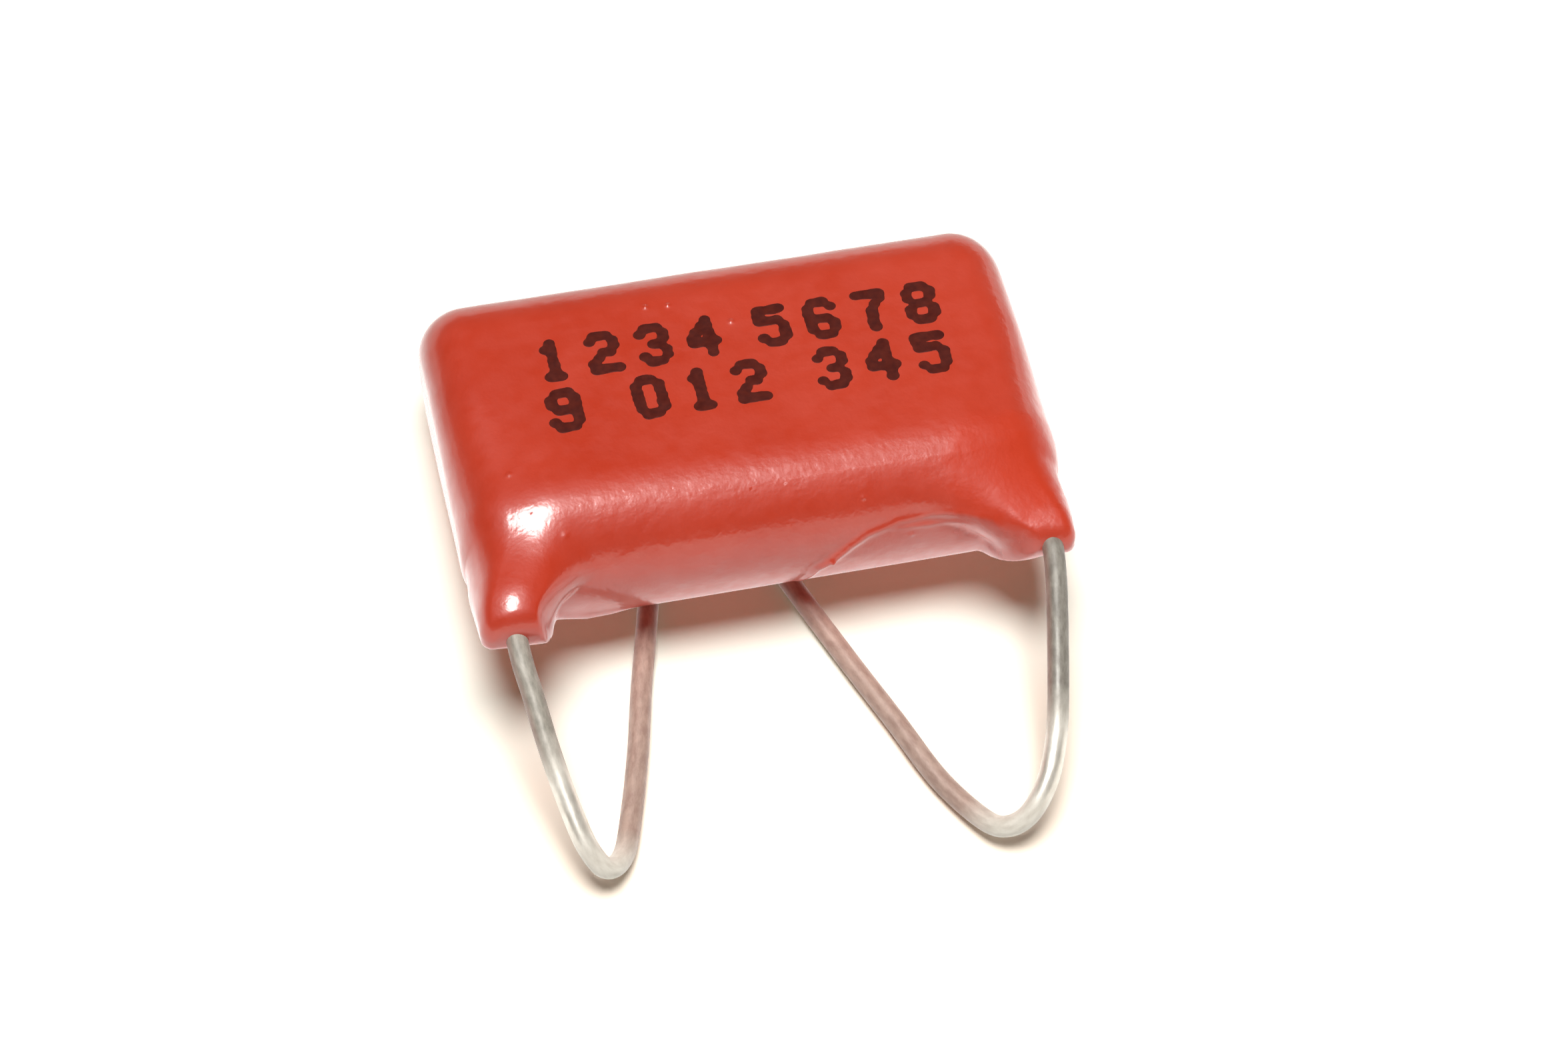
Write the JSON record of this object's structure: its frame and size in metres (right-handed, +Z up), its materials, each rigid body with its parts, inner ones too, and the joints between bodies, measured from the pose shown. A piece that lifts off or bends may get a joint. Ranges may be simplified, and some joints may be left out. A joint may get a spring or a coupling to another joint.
{
  "type": "film capacitor",
  "caption": "Radial film capacitor with a dipped red epoxy coat, lying flat with its thin tinned leads bent back beneath it.",
  "frame": {"origin": "on the table, under the middle of the box that holds the whole part, leads included", "axes": "+Z up from the table, +X across the body from the left lead to the right one, +Y from the leads towards the closed long edge"},
  "size_m": [0.017, 0.019, 0.0054],
  "materials": {
    "red_epoxy": "glossy cured epoxy with a faint orange-peel skin",
    "clear_film": "clear polypropylene film",
    "metallized_film": "film with a thin metal layer",
    "zinc_spray": "matt sprayed zinc",
    "tinned_wire": "satin tin over copper-clad steel"
  },
  "bodies": {
    "root": {"epoxy_coat": "red_epoxy", "cover_film": "clear_film", "film_winding": "metallized_film", "end_spray_left": "zinc_spray", "end_spray_right": "zinc_spray", "lead_left": "tinned_wire", "lead_right": "tinned_wire"}
  },
  "joints": []
}
